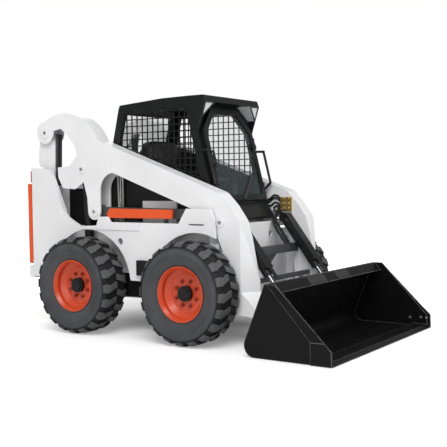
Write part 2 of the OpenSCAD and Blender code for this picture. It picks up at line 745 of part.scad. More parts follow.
module cab_frame() {
  color("black") place() {
    difference() {
      across(-cab_half, cab_half) polygon(cab_pts(0, cab_low));
      across(cab_t - cab_half, cab_half - cab_t) polygon(cab_pts(cab_t, cab_low - 10));
      across(-cab_half - 1, cab_half + 1) screen_window_2d();
      // rear window
      translate([cab_rear_x - 24, -300, 1430]) cube([200, 600, 180]);
      // door opening
      on_front() translate([-60, 0, 0]) rotate([90, 0, 90]) linear_extrude(120)
        polygon(door_pts(door_bar - 10));
    }
    // roof visor
    across(-cab_half, cab_half) polygon([[front_at(visor_z) - 10, visor_z], [visor_x, visor_z],
      [visor_x - 20, roof_z], [front_at(roof_z) - 10, roof_z]]);
    // cheeks beside the work lamps
    both() across(cab_half - cheek_t, cab_half) polygon([[front_at(cheek_z) - 10, cheek_z],
      [front_at(cheek_z), cheek_z], [visor_x - lamp_lean, visor_z - lamp_h], [visor_x, visor_z],
      [front_at(visor_z) - 10, visor_z]]);
    // front sill
    across(-cab_half, cab_half) polygon([[front_at(cab_low) - 10, cab_low],
      [cab_front_x + sill_reach, cab_low], [cab_front_x + sill_reach, cab_low + 22],
      [front_at(1092), 1092], [front_at(1092) - 10, 1092]]);
    // seat shelf
    translate([cab_rear_x + 10, -cab_half + 10, cab_low]) cube([640, 2 * cab_half - 20, 20]);
    // tilt pins
    both() pin(pin_k_x, pin_k_z, pin_k_r, cab_half - 10, tub_half);
    // seat bar pins
    both() pin(bar_axis[0], bar_axis[1], bar_pin_r, 326, cab_half - cab_t + 5);
    // grab handles beside the front
    both() {
      pin(front_at(1542) - 40, 1542, grab_r, cab_half - 5, grab_y);
      pin(front_at(1176) - 40, 1176, grab_r, cab_half - 5, grab_y);
      translate([front_at(1542) - 40, grab_y, 1542]) sphere(r = grab_r + 1);
      tube([front_at(1542) - 40, 1542], [-29, 1540]);
      tube([-29, 1540], [41, 1264]);
      tube([41, 1264], [front_at(1176) - 40, 1176]);
    }
    // door hinge ears and pins
    on_front() for (z = door_hinges) {
      for (e = [-16, knuckle_h + 2]) translate([-5, door_axis[1] - 8, z + e])
        cube([door_axis[0] + 15, 18, 14]);
      translate([door_axis[0], door_axis[1], z - 16]) cylinder(r = hinge_r, h = knuckle_h + 32);
    }
  }
}

// a straight run of the grab handle's tube with a ball at its end
module tube(p, q) {
  d = q - p;
  translate([p[0], grab_y, p[1]]) rotate([0, atan2(d[0], d[1]), 0]) cylinder(r = grab_r, h = norm(d));
  translate([q[0], grab_y, q[1]]) sphere(r = grab_r + 1);
}

module side_screens() {
  color("black") place() both() across(cab_half - cab_t + 6, cab_half - cab_t + 14) difference() {
    screen_window_2d();
    for (i = [0:16], j = [0:10]) translate([-1010 + i * mesh_pitch, 1310 + j * mesh_pitch])
      square(mesh_pitch - mesh_bar);
  }
}

module rear_window() {
  color("lightblue") place() translate([cab_rear_x + 4, -300, 1430]) cube([6, 600, 180]);
}

module seat() {
  color("black") place() {
    translate([-900, -240, cab_low + 20]) cube([450, 480, 110]);
    translate([-900, -240, cab_low + 130]) cube([470, 480, 120]);
    translate([-920, -220, cab_low + 130]) cube([120, 440, 560]);
  }
}

module work_lamps() {
  color("white") place() both() intersection() {
    translate([-400, 0, 0]) rotate([90, 0, 90]) linear_extrude(400) polygon([[lamp_y, visor_z],
      [lamp_y - lamp_w, visor_z], [lamp_y, visor_z - lamp_h]]);
    across(lamp_y - lamp_w - 1, lamp_y) polygon([[front_at(visor_z), visor_z],
      [front_at(visor_z - lamp_h), visor_z - lamp_h], [visor_x - lamp_lean, visor_z - lamp_h],
      [visor_x - 3, visor_z]]);
  }
}

module seat_bar() {
  color("dimgray") place() {
    both() across(330, 350) difference() {
      union() {
        bar_2d(bar_axis, bar_end, 30);
        translate(bar_axis) circle(r = 26);
      }
      translate(bar_axis) circle(r = bar_pin_r + run_gap);
    }
    pin(bar_end[0], bar_end[1], 16, -350, 350);
  }
}

// door outline on the front plane, across and up
function door_pts(t) = [[-door_half + t, door_low + t], [door_half - t, door_low + t],
  [door_half - t, door_low + door_h - door_cut_z - t / 2],
  [door_half - door_cut_y - t / 2, door_low + door_h - t],
  [-door_half + door_cut_y + t / 2, door_low + door_h - t],
  [-door_half + t, door_low + door_h - door_cut_z - t / 2]];

module door_frame() {
  color("black") place() on_front() difference() {
    union() {
      translate([side_gap, 0, 0]) rotate([90, 0, 90]) linear_extrude(door_t) difference() {
        polygon(door_pts(0));
        polygon(door_pts(door_bar));
      }
      for (z = door_hinges) {
        translate([door_axis[0], door_axis[1], z]) cylinder(r = knuckle_r - 2, h = knuckle_h);
        translate([door_axis[0] - 8, door_half - 5, z]) cube([16, 19, knuckle_h]);
      }
    }
    for (z = door_hinges) translate([door_axis[0], door_axis[1], z - 1])
      cylinder(r = hinge_r + run_gap, h = knuckle_h + 2);
  }
}

module door_glass() {
  color("lightblue") place() on_front() translate([side_gap + 12, 0, 0]) rotate([90, 0, 90]) linear_extrude(6)
    polygon(door_pts(door_bar));
}

module rear_door() {
  color("orangered") place() difference() {
    union() {
      // pressed sheet, open toward the engine
      difference() {
        translate([-rear_reach, -tail_half, tail_z]) cube([tail_t, 2 * tail_half, tail_h]);
        translate([-rear_reach + tail_sheet, tail_sheet - tail_half, tail_z + tail_sheet])
          cube([tail_t, 2 * tail_half - 2 * tail_sheet, tail_h - 2 * tail_sheet]);
        // cooling slots in two columns
        for (y = [-440, 60], i = [0:9]) translate([-rear_reach - 1, y, tail_z + 160 + i * slot_pitch])
          cube([tail_sheet + 2, 380, slot_h]);
      }
      for (z = rear_hinges) {
        translate([rear_axis[0], rear_axis[1], z]) cylinder(r = knuckle_r, h = knuckle_h);
        translate([rear_axis[0] - 10, tail_half - tail_sheet, z])
          cube([20, rear_axis[1] - tail_half + tail_sheet, knuckle_h]);
      }
    }
    for (z = rear_hinges) translate([rear_axis[0], rear_axis[1], z - 1])
      cylinder(r = hinge_r + run_gap, h = knuckle_h + 2);
  }
}

module engine_cover() {
  color("dimgray") place() difference() {
    union() {
      translate([tub_back - 20, -tub_half, bay_z + side_gap]) cube([680, 2 * tub_half, cover_t]);
      both() pin(cover_axis[0], cover_axis[1], knuckle_r, cover_hinge_y, cover_hinge_y + knuckle_h);
      both() translate([tub_back + 655, cover_hinge_y, cover_axis[1] - 8])
        cube([cover_axis[0] - tub_back - 655, knuckle_h, 16]);
    }
    both() pin(cover_axis[0], cover_axis[1], hinge_r + run_gap, cover_hinge_y - 1,
      cover_hinge_y + knuckle_h + 1);
    // cooling slots
    both() for (i = [0:7]) translate([tub_back + 130 + i * slot_pitch, 60, bay_z]) cube([slot_h, 320, 100]);
  }
}

// black plates beside the chain cases and the engine bay, and the step bracket on the rail
module chain_guards() {
  color("black") place() both() {
    translate([-900, chain_half, belly_z + 20]) cube([660, 12, chain_z - belly_z - 30]);
    across(tub_half, tub_half + 3) polygon([[-1560, 900], [-1560, bay_z - 5],
      [-bulkhead_x - frame_t, bay_z - 5], [pin_k_x - 38, pin_k_z - 30], [pin_k_x + 42, pin_k_z - 30],
      [pin_k_x + 56, sill_z], [pin_k_x + 56, 900]]);
    translate([-588, rail_out, 510]) cube([100, 30, 125]);
  }
}

// pairs of hoses along the front edge of the rear links
module link_hoses() {
  color("black") place() both() for (y = [-hose_r, hose_r])
    translate([pin_a_x + 63.4 + hose_r, lift_mid + y, pin_a_z + 110])
    rotate([0, 1.9, 0]) cylinder(r = hose_r - curve_gap, h = 460);
}

// couplings for attachments on the left arm's inner face
module aux_couplers() {
  color("gold") place() {
    translate([125, arm_in - 12, 1012]) cube([115, 12, 122]);
    for (i = [0:1], j = [0:2]) translate([156 + i * 54, arm_in - 11, 1036 + j * 41]) rotate([90, 0, 0]) {
      cylinder(r = 15, h = 22);
      translate([0, 0, 6]) cylinder(r = 19, h = 8);
    }
  }
}

// a tread lug, an angled bar across half of the tread
module lug_2d() {
  half = tyre_w / 2;
  polygon([[-lug_w, 4], [0, 4], [0.6 * lug_w, 0.6 * half], [0.8 * lug_w, 0.7 * half], [0.7 * lug_w, half - 5],
    [-0.6 * lug_w, half - 5], [-0.7 * lug_w, 0.7 * half], [-0.45 * lug_w, 0.6 * half]]);
}

module tyre() {
  crown = tyre_r - lug_h;
  color("dimgray") {
    rotate([90, 0, 0]) rotate_extrude() polygon([[seat_r + curve_gap, -rim_w / 2 + 20],
      [flange_r + 2, -rim_w / 2 + 11], [flange_r + 14, -rim_w / 2 - 2], [320, -tyre_w / 2],
      [crown - 24, 6 - tyre_w / 2], [crown - 4, 30 - tyre_w / 2], [crown, 60 - tyre_w / 2],
      [crown, tyre_w / 2 - 60], [crown - 4, tyre_w / 2 - 30], [crown - 24, tyre_w / 2 - 6],
      [320, tyre_w / 2], [flange_r + 14, rim_w / 2 + 2], [flange_r + 2, rim_w / 2 - 11],
      [seat_r + curve_gap, rim_w / 2 - 20]]);
    // lugs, staggered on the two halves
    intersection() {
      for (i = [0:lug_count - 1], half = [0, 1]) rotate([0, (i + half / 2) * 360 / lug_count, 0])
        mirror([0, half, 0]) translate([0, 0, crown - 22]) linear_extrude(lug_h + 24) lug_2d();
      rotate([90, 0, 0]) rotate_extrude() polygon([[0, -tyre_w / 2], [tyre_r - 34, -tyre_w / 2],
        [tyre_r - 14, 22 - tyre_w / 2], [tyre_r, 62 - tyre_w / 2], [tyre_r, tyre_w / 2 - 62],
        [tyre_r - 14, tyre_w / 2 - 22], [tyre_r - 34, tyre_w / 2], [0, tyre_w / 2]]);
    }
  }
}

module rim() {
  face = rim_w / 2;
  color("orangered") difference() {
    rotate([-90, 0, 0]) rotate_extrude() {
      polygon([[seat_r - rim_t, -face], [flange_r, -face], [flange_r, 10 - face], [seat_r, 19 - face],
        [seat_r, face - 19], [flange_r, face - 10], [flange_r, face], [flange_r - 8, face],
        [seat_r - rim_t, face - 24]]);
      // dished disc
      polygon([[seat_r - rim_t + 2, face - cone_dish], [disc_r, face - dish],
        [hub_nose_r + curve_gap, face - dish], [hub_nose_r + curve_gap, face - dish - rim_t],
        [disc_r + 4, face - dish - rim_t],
        [seat_r - rim_t + 2, face - cone_dish - rim_t - 4]]);
    }
    for (i = [0:stud_count - 1]) rotate([0, (i + 0.5) * 360 / stud_count, 0])
      translate([stud_pcd / 2, face - dish + 1, 0]) rotate([90, 0, 0])
      cylinder(r = stud_hole_r, h = rim_t + 2);
  }
}

module hub() {
  face = rim_w / 2 - dish;
  color("black") difference() {
    union() {
      translate([0, face - rim_t, 0]) rotate([90, 0, 0]) cylinder(r = hub_flange_r, h = 20);
      translate([0, face + 36, 0]) rotate([90, 0, 0]) cylinder(r = hub_nose_r, h = 120);
      translate([0, face + 44, 0]) rotate([90, 0, 0]) cylinder(r = hub_nose_r - 16, h = 20);
    }
    translate([0, 2, 0]) rotate([90, 0, 0]) cylinder(r = spindle_r + run_gap, h = 200);
  }
}

// a wheel's place, side is 1 on the left and -1 on the right
module wheel_at(x, side) {
  place() translate([x, side * track_half, axle_z]) mirror([0, side < 0 ? 1 : 0, 0]) children();
}

module tyre_front_right() { wheel_at(0, -1) tyre(); }
module rim_front_right() { wheel_at(0, -1) rim(); }
module hub_front_right() { wheel_at(0, -1) hub(); }
module tyre_front_left() { wheel_at(0, 1) tyre(); }
module rim_front_left() { wheel_at(0, 1) rim(); }
module hub_front_left() { wheel_at(0, 1) hub(); }
module tyre_rear_right() { wheel_at(-wheelbase, -1) tyre(); }
module rim_rear_right() { wheel_at(-wheelbase, -1) rim(); }
module hub_rear_right() { wheel_at(-wheelbase, -1) hub(); }
module tyre_rear_left() { wheel_at(-wheelbase, 1) tyre(); }
module rim_rear_left() { wheel_at(-wheelbase, 1) rim(); }
module hub_rear_left() { wheel_at(-wheelbase, 1) hub(); }

main_frame();
side_panel_right();
side_panel_left();
axle_tubes();
engine_block();
control_levers();
tail_lamps();
control_links();
rear_links();
lift_barrels();
lift_rods();
lift_arm_right();
lift_arm_left();
arm_cross();
lift_support();
tilt_barrels();
tilt_rods();
quick_coupler();
bucket();
cab_frame();
side_screens();
rear_window();
seat();
work_lamps();
seat_bar();
door_frame();
door_glass();
rear_door();
engine_cover();
chain_guards();
link_hoses();
aux_couplers();
tyre_front_right();
rim_front_right();
hub_front_right();
tyre_front_left();
rim_front_left();
hub_front_left();
tyre_rear_right();
rim_rear_right();
hub_rear_right();
tyre_rear_left();
rim_rear_left();
hub_rear_left();
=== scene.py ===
import json
import math

import bpy
import bmesh
from mathutils import Matrix, Vector


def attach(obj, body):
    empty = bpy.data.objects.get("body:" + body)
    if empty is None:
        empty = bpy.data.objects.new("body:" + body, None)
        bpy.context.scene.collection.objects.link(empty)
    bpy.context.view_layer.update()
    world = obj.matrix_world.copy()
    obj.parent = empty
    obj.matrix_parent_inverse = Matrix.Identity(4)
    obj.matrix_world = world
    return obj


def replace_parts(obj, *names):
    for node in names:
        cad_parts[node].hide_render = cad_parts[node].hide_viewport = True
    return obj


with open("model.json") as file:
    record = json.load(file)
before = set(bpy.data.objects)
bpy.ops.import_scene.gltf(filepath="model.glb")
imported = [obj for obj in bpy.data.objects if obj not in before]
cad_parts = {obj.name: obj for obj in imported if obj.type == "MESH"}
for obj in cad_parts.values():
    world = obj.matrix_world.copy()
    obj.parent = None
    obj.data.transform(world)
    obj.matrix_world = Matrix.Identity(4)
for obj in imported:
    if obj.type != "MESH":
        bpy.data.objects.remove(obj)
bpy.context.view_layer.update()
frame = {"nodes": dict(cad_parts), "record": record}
nodes = frame["nodes"]
axleX = 0.28  # the front axle, ahead of the machine's middle; the pieces below count x from it
ahead = Vector((axleX, 0, 0))
hands = (("Right", -1), ("Left", 1))  # the right side faces the photo's camera
print("frame loaded:", len(nodes), "solids")


def add(t, kind, **values):
    n = t.nodes.new(kind)
    for k, v in values.items():
        setattr(n, k, v)
    return n


def preset(n, values):
    for k, v in values.items():
        n.inputs[k].default_value = v
    return n


def place(name, data):
    obj = bpy.data.objects.new(name, data)
    bpy.context.collection.objects.link(obj)
    return obj


# matched to the photo's wheels, bucket edge and roof; eye counted from the front axle, angles in
# degrees, focal length in the photo's pixels
camera = {"eye": (3.9453, -6.0842, 1.2861), "yaw": 34.1198, "pitch": -2.8885, "roll": -0.6368,
          "focal": 850, "frame": 447, "sensor": 36, "clip": 200}


def placeCamera(c):
    yaw, pitch, roll = (math.radians(c[k]) for k in ("yaw", "pitch", "roll"))
    look = Vector((-math.sin(yaw) * math.cos(pitch), math.cos(yaw) * math.cos(pitch), math.sin(pitch)))
    level = Vector((math.cos(yaw), math.sin(yaw), 0))
    upright = level.cross(look)
    right = math.cos(roll) * level + math.sin(roll) * upright
    up = math.cos(roll) * upright - math.sin(roll) * level
    data = bpy.data.cameras.new("photoCamera")
    data.sensor_width = c["sensor"]
    data.lens = c["focal"] / c["frame"] * c["sensor"]
    data.clip_end = c["clip"]
    m = Matrix.Identity(4)
    for i in range(3):
        m[i][0], m[i][1], m[i][2] = right[i], up[i], -look[i]
    m.translation = Vector(c["eye"]) + ahead
    cam = place("photoCamera", data)
    cam.matrix_world = m
    bpy.context.scene.camera = cam


# the key and front lamps stand well off, so that raised arms get about the light of arms at rest
lamps = {
    "keySoftbox": {"power": 1930, "size": 11, "eye": (5.5, -9.9, 13.34), "aim": (0, 0, 0.8)},
    "sideSoftbox": {"power": 140, "size": 5, "eye": (6.5, 1.5, 3.5), "aim": (0, 0, 0.8)},
    "backSoftbox": {"power": 150, "size": 5, "eye": (-6, 3, 4.5), "aim": (0, 0, 0.8)},
    "frontSoftbox": {"power": 176, "size": 5.6, "eye": (2.1, -11.9, 2.16), "aim": (0, 0, 0.9)},
}
surround = {"fill": 0.33, "seen": 1}  # light on the machine, and what the camera sees behind it


def areaLamp(name, d):
    data = bpy.data.lights.new(name, "AREA")
    data.energy = d["power"]
    data.size = d["size"]
    lamp = place(name, data)
    lamp.location = d["eye"]
    lamp.rotation_euler = (Vector(d["aim"]) - Vector(d["eye"])).to_track_quat("-Z", "Y").to_euler()


def whiteSurround(s):
    world = bpy.data.worlds.new("studioWorld")
    bpy.context.scene.world = world
    world.use_nodes = True
    t = world.node_tree
    t.nodes.clear()
    white = (1, 1, 1, 1)
    fill = preset(add(t, "ShaderNodeBackground"), {"Color": white, "Strength": s["fill"]})
    seen = preset(add(t, "ShaderNodeBackground"), {"Color": white, "Strength": s["seen"]})
    path = add(t, "ShaderNodeLightPath")
    direct = add(t, "ShaderNodeMath", operation="MAXIMUM")
    mix = add(t, "ShaderNodeMixShader")
    out = add(t, "ShaderNodeOutputWorld")
    t.links.new(path.outputs["Is Camera Ray"], direct.inputs[0])
    t.links.new(path.outputs["Is Transmission Ray"], direct.inputs[1])
    t.links.new(direct.outputs[0], mix.inputs[0])
    t.links.new(fill.outputs[0], mix.inputs[1])
    t.links.new(seen.outputs[0], mix.inputs[2])
    t.links.new(mix.outputs[0], out.inputs["Surface"])


# the paper glows for the camera only, more away from the machine: a painted shadow under it deepens the real
# one, and the far floor is white
floorPaper = {"half": 60, "tone": 0.84, "rough": 0.9, "glows": [
    {"squeeze": (0.52, 1, 1), "near": 0.28, "far": 0.95, "low": 0.02, "high": 0.35},
    {"squeeze": (1, 1, 1), "near": 2.0, "far": 5.0, "low": 0.0, "high": 0.60}]}


def layFloor(d):
    bm = bmesh.new()
    bmesh.ops.create_grid(bm, x_segments=1, y_segments=1, size=d["half"])
    mesh = bpy.data.meshes.new("studioFloor")
    bm.to_mesh(mesh)
    bm.free()
    floor = place("studioFloor", mesh)
    mat, t, bsdf = newFinish("floorPaper")
    preset(bsdf, {"Base Color": (d["tone"],) * 3 + (1,), "Roughness": d["rough"],
                  "Specular IOR Level": 0, "Emission Color": (1, 1, 1, 1)})
    path = add(t, "ShaderNodeLightPath")
    where = add(t, "ShaderNodeTexCoord")
    both = add(t, "ShaderNodeMath", operation="ADD")
    # each glow is least near the machine, which paints a shadow under it
    for i, g in enumerate(d["glows"]):
        squeeze = add(t, "ShaderNodeVectorMath", operation="MULTIPLY")
        squeeze.inputs[1].default_value = g["squeeze"]
        reach = add(t, "ShaderNodeVectorMath", operation="LENGTH")
        t.links.new(where.outputs["Object"], squeeze.inputs[0])
        t.links.new(squeeze.outputs[0], reach.inputs[0])
        glow = ramp(t, reach.outputs["Value"], g["near"], g["far"], g["low"], g["high"])
        t.links.new(glow, both.inputs[i])
    t.links.new(calc(t, path.outputs["Is Camera Ray"], both.outputs[0]), bsdf.inputs["Emission Strength"])
    mesh.materials.append(mat)


def newFinish(name):
    mat = bpy.data.materials.new(name)
    mat.use_nodes = True
    return mat, mat.node_tree, mat.node_tree.nodes["Principled BSDF"]


def noise(t, scale, detail=4, rough=0.55):
    where = t.nodes.get("Texture Coordinate") or add(t, "ShaderNodeTexCoord")
    n = preset(add(t, "ShaderNodeTexNoise"), {"Scale": scale, "Detail": detail, "Roughness": rough})
    t.links.new(where.outputs["Object"], n.inputs["Vector"])
    return n.outputs["Fac"]


def ramp(t, source, low, high, a=0.0, b=1.0):
    r = preset(add(t, "ShaderNodeMapRange"), {"From Min": low, "From Max": high, "To Min": a, "To Max": b})
    t.links.new(source, r.inputs["Value"])
    return r.outputs["Result"]


def blendColor(t, fac, a, b):
    m = add(t, "ShaderNodeMix", data_type="RGBA")
    t.links.new(fac, m.inputs["Factor"])
    for k, c in (("A", a), ("B", b)):
        socket = next(i for i in m.inputs if i.name == k and i.type == "RGBA")
        if isinstance(c, tuple):
            socket.default_value = c + (1,)
        else:
            t.links.new(c, socket)
    return next(o for o in m.outputs if o.type == "RGBA")


def calc(t, a, b, how="MULTIPLY"):
    m = add(t, "ShaderNodeMath", operation=how)
    for i, v in enumerate((a, b)):
        if isinstance(v, (int, float)):
            m.inputs[i].default_value = v
        else:
            t.links.new(v, m.inputs[i])
    return m.outputs[0]


def edgeMask(t, radius):
    # the rounded normal leaves the true one only near an edge
    soft = add(t, "ShaderNodeBevel", samples=4)
    soft.inputs["Radius"].default_value = radius
    true = add(t, "ShaderNodeNewGeometry")
    dot = add(t, "ShaderNodeVectorMath", operation="DOT_PRODUCT")
    t.links.new(soft.outputs["Normal"], dot.inputs[0])
    t.links.new(true.outputs["Normal"], dot.inputs[1])
    return ramp(t, dot.outputs["Value"], 0.995, 0.9)


def bump(t, bsdf, height, strength, distance=0.001):
    b = preset(add(t, "ShaderNodeBump"), {"Strength": strength, "Distance": distance})
    t.links.new(height, b.inputs["Height"])
    t.links.new(b.outputs["Normal"], bsdf.inputs["Normal"])


def mottle(t, bsdf, scale, detail, a, b, rough=0.55, low=0.35, high=0.7):
    # two tones of one colour in slow patches
    tone = blendColor(t, ramp(t, noise(t, scale, detail, rough), low, high), a, b)
    t.links.new(tone, bsdf.inputs["Base Color"])


def uneven(t, bsdf, scale, detail, a, b, low=0.3):
    t.links.new(ramp(t, noise(t, scale, detail), low, 0.7, a, b), bsdf.inputs["Roughness"])


placeCamera(camera)
for name, d in lamps.items():
    areaLamp(name, d)
whiteSurround(surround)
layFloor(floorPaper)
bpy.context.scene.view_settings.view_transform = "Standard"
print("studio set")


def enamel(name, color, edgeWearAndSheen, dirt, rough=0.35, edge=0.004, dirtTop=0.5, coat=0.15, shine=0.5,
           wearAndSheenSpread=(0.5, 0.62)):
    # paint with slow tint changes, dust low down, rubbed edges that are partly wear and partly a painted
    # highlight, and a fine orange peel
    mat, t, bsdf = newFinish(name)
    deep = tuple(c * 0.94 for c in color)
    pale = tuple(min(1, c * 1.03) for c in color)
    tint = blendColor(t, ramp(t, noise(t, 2.2), 0.35, 0.65), deep, pale)
    split = add(t, "ShaderNodeSeparateXYZ")
    t.links.new(t.nodes["Texture Coordinate"].outputs["Object"], split.inputs[0])
    low = ramp(t, split.outputs["Z"], dirtTop, 0.0, 0, 0.35)
    dust = calc(t, low, ramp(t, noise(t, 9, 8, 0.7), 0.4, 0.75))
    dusty = blendColor(t, dust, tint, dirt)
    rubAndSheen = calc(t, edgeMask(t, edge), ramp(t, noise(t, 30, 6, 0.7), *wearAndSheenSpread))
    t.links.new(blendColor(t, rubAndSheen, dusty, edgeWearAndSheen), bsdf.inputs["Base Color"])
    uneven(t, bsdf, 14, 5, rough - 0.06, rough + 0.1)
    preset(bsdf, {"Coat Weight": coat, "Coat Roughness": 0.2, "Specular IOR Level": shine})
    bump(t, bsdf, noise(t, 420, 2), 0.12, 0.0004)
    return mat


def rodChrome(name):
    mat, t, bsdf = newFinish(name)
    tone = blendColor(t, noise(t, 8), (0.24, 0.245, 0.255), (0.33, 0.33, 0.34))
    t.links.new(tone, bsdf.inputs["Base Color"])
    bsdf.inputs["Metallic"].default_value = 1
    uneven(t, bsdf, 60, 6, 0.08, 0.22)
    return mat


def castIron(name, color):
    mat, t, bsdf = newFinish(name)
    mottle(t, bsdf, 12, 8, color, tuple(c * 1.8 for c in color), 0.7)
    uneven(t, bsdf, 30, 5, 0.5, 0.75)
    bump(t, bsdf, noise(t, 180, 5, 0.7), 0.4, 0.001)
    return mat


def clearGlass(name):
    # thin pane: mostly see-through, with a faint tint and sheen
    mat, t, bsdf = newFinish(name)
    tone = blendColor(t, noise(t, 3), (0.13, 0.17, 0.17), (0.17, 0.21, 0.21))
    t.links.new(tone, bsdf.inputs["Base Color"])
    uneven(t, bsdf, 7, 5, 0.02, 0.07, 0.35)
    preset(bsdf, {"Alpha": 0.16, "Specular IOR Level": 0.6})
    return mat


def seatVinyl(name):
    mat, t, bsdf = newFinish(name)
    mottle(t, bsdf, 9, 6, (0.020, 0.020, 0.021), (0.042, 0.041, 0.040))
    uneven(t, bsdf, 25, 5, 0.42, 0.62)
    bump(t, bsdf, noise(t, 340, 6, 0.7), 0.5, 0.0008)
    return mat


def lensFinish(name, a, b, rough):
    mat, t, bsdf = newFinish(name)
    mottle(t, bsdf, 40, 3, a, b, low=0.3)
    uneven(t, bsdf, 22, 4, rough, rough + 0.1)
    bsdf.inputs["Coat Weight"].default_value = 0.6
    return mat


def yellowZinc(name):
    mat, t, bsdf = newFinish(name)
    mottle(t, bsdf, 30, 5, (0.50, 0.36, 0.12), (0.66, 0.52, 0.24), high=0.65)
    bsdf.inputs["Metallic"].default_value = 0.85
    uneven(t, bsdf, 50, 5, 0.28, 0.42)
    return mat


def boltSteel(name):
    mat, t, bsdf = newFinish(name)
    mottle(t, bsdf, 45, 6, (0.30, 0.29, 0.28), (0.52, 0.51, 0.50), high=0.65)
    bsdf.inputs["Metallic"].default_value = 0.9
    uneven(t, bsdf, 60, 5, 0.30, 0.48)
    return mat


# radii and offsets of the tyre, and its tones, with a painted highlight on the lug tops and painted shade in
# the grooves; each pair is where a mask starts and ends
tyre = {"wallTones": ((0.050, 0.052, 0.057), (0.078, 0.080, 0.086)), "dust": (0.13, 0.12, 0.11),
        "scuffAndHighlight": (0.125, 0.124, 0.124), "grooveShade": (0.013, 0.013, 0.014),
        "rings": [((0.300, 0.304), (0.312, 0.308)), ((0.350, 0.353), (0.359, 0.356))],
        "middle": 0.76, "flat": 0.084, "fall": 8.6,
        "root": (0.404, 0.396), "edge": (0.143, 0.139), "wall": (0.352, 0.362), "top": (0.400, 0.406)}


def tyreRubber(name, axle, d):
    mat, t, bsdf = newFinish(name)
    base = blendColor(t, ramp(t, noise(t, 5, 6, 0.65), 0.35, 0.7), *d["wallTones"])
    dusty = blendColor(t, ramp(t, noise(t, 38, 8, 0.75), 0.55, 0.8, 0, 0.5), base, d["dust"])
    uneven(t, bsdf, 20, 6, 0.62, 0.85)
    bsdf.inputs["Specular IOR Level"].default_value = 0.3
    # moulded rings on the sidewall, counted from the wheel's own axle
    where = t.nodes["Texture Coordinate"]
    flat = add(t, "ShaderNodeVectorMath", operation="MULTIPLY_ADD")
    flat.inputs[1].default_value = (1, 0, 1)
    flat.inputs[2].default_value = (-axle[0], 0, -axle[1])
    reach = add(t, "ShaderNodeVectorMath", operation="LENGTH")
    t.links.new(where.outputs["Object"], flat.inputs[0])
    t.links.new(flat.outputs[0], reach.inputs[0])
    radius = reach.outputs["Value"]
    inner, outer = (calc(t, ramp(t, radius, *rise), ramp(t, radius, *drop)) for rise, drop in d["rings"])
    rings = calc(t, inner, outer, "ADD")
    # lug tops lighter, partly scuff and partly a painted highlight; the grooves between them take painted
    # shade: told by the height over the tread's own curve
    split = add(t, "ShaderNodeSeparateXYZ")
    t.links.new(where.outputs["Object"], split.inputs[0])
    across = calc(t, split.outputs["Y"], 0, "ABSOLUTE")
    off = calc(t, calc(t, across, d["middle"], "SUBTRACT"), 0, "ABSOLUTE")
    past = calc(t, calc(t, off, d["flat"], "SUBTRACT"), 0, "MAXIMUM")
    curve = calc(t, calc(t, calc(t, past, 2, "POWER"), d["fall"]), radius, "ADD")
    tread = calc(t, ramp(t, off, *d["edge"]), ramp(t, radius, *d["wall"]))
    groove = calc(t, ramp(t, curve, *d["root"]), tread)
    lugTopScuffAndHighlight = calc(t, ramp(t, curve, *d["top"]), ramp(t, noise(t, 24, 6, 0.7), 0.35, 0.7, 0.25, 0.8))
    scuffedAndLit = blendColor(t, lugTopScuffAndHighlight, dusty, d["scuffAndHighlight"])
    t.links.new(blendColor(t, groove, scuffedAndLit, d["grooveShade"]), bsdf.inputs["Base Color"])
    height = calc(t, calc(t, noise(t, 260, 5, 0.6), 0.12), rings, "ADD")
    bump(t, bsdf, height, 0.8, 0.004)
    return mat


def paintShadeBelow(mat, top):
    # painted shade: below a given height the beam is coloured black, standing in for the shadow under it
    t = mat.node_tree
    bsdf = t.nodes["Principled BSDF"]
    paint = bsdf.inputs["Base Color"].links[0].from_socket
    split = next(n for n in t.nodes if n.type == "SEPXYZ")
    foot = ramp(t, split.outputs["Z"], top, top - 0.001)
    t.links.new(blendColor(t, foot, paint, (0.012, 0.012, 0.013)), bsdf.inputs["Base Color"])
    return mat


dustTone = (0.42, 0.40, 0.37)
machineOrange = {"color": (0.80, 0.090, 0.012), "edgeWearAndSheen": (0.40, 0.12, 0.05), "dirt": dustTone, "rough": 0.34}
finishes = {
    "white_paint": enamel("whiteEnamel", (0.85, 0.85, 0.86), (0.50, 0.50, 0.50), (0.66, 0.64, 0.61)),
    "black_paint": enamel("blackEnamel", (0.009, 0.009, 0.010), (0.07, 0.07, 0.07), (0.06, 0.058, 0.055),
                          rough=0.42, coat=0.03, shine=0.25),
    "grey_paint": enamel("greyEnamel", (0.060, 0.064, 0.066), (0.20, 0.20, 0.20), dustTone, rough=0.45),
    "orange_paint": enamel("orangeEnamel", **machineOrange),
    "rim_orange": enamel("rimEnamel", (0.62, 0.060, 0.012), (0.30, 0.08, 0.05), (0.36, 0.13, 0.08),
                         rough=0.30, coat=0.3),
    # the bucket's rubbed edges are pale: wear, and a painted highlight along its edges
    "bucket_black": enamel("bucketEnamel", (0.0045, 0.0045, 0.005), (0.26, 0.26, 0.26),
                           (0.018, 0.0175, 0.017), rough=0.34, edge=0.005, dirtTop=0.2,
                           coat=0.02, shine=0.15, wearAndSheenSpread=(0.32, 0.5)),
    "cab_black": enamel("cabEnamel", (0.006, 0.0065, 0.007), (0.06, 0.06, 0.06), (0.05, 0.05, 0.05),
                        rough=0.36, coat=0.05, shine=0.3),
    "engine_grey": castIron("engineCasting", (0.05, 0.05, 0.052)),
    "black_plastic": castIron("leverPlastic", (0.015, 0.015, 0.015)),
    "red_lens": lensFinish("redLens", (0.42, 0.012, 0.010), (0.55, 0.02, 0.015), 0.12),
    "lamp_lens": lensFinish("lampLens", (0.62, 0.64, 0.66), (0.85, 0.86, 0.87), 0.10),
    "rod_chrome": rodChrome("hardChrome"),
    "clear_glass": clearGlass("cabGlass"),
    "seat_vinyl": seatVinyl("seatVinyl"),
    "hose_rubber": castIron("hoseRubber", (0.016, 0.016, 0.016)),
    "zinc_yellow": yellowZinc("yellowZinc"),
}
steel = boltSteel("boltSteel")
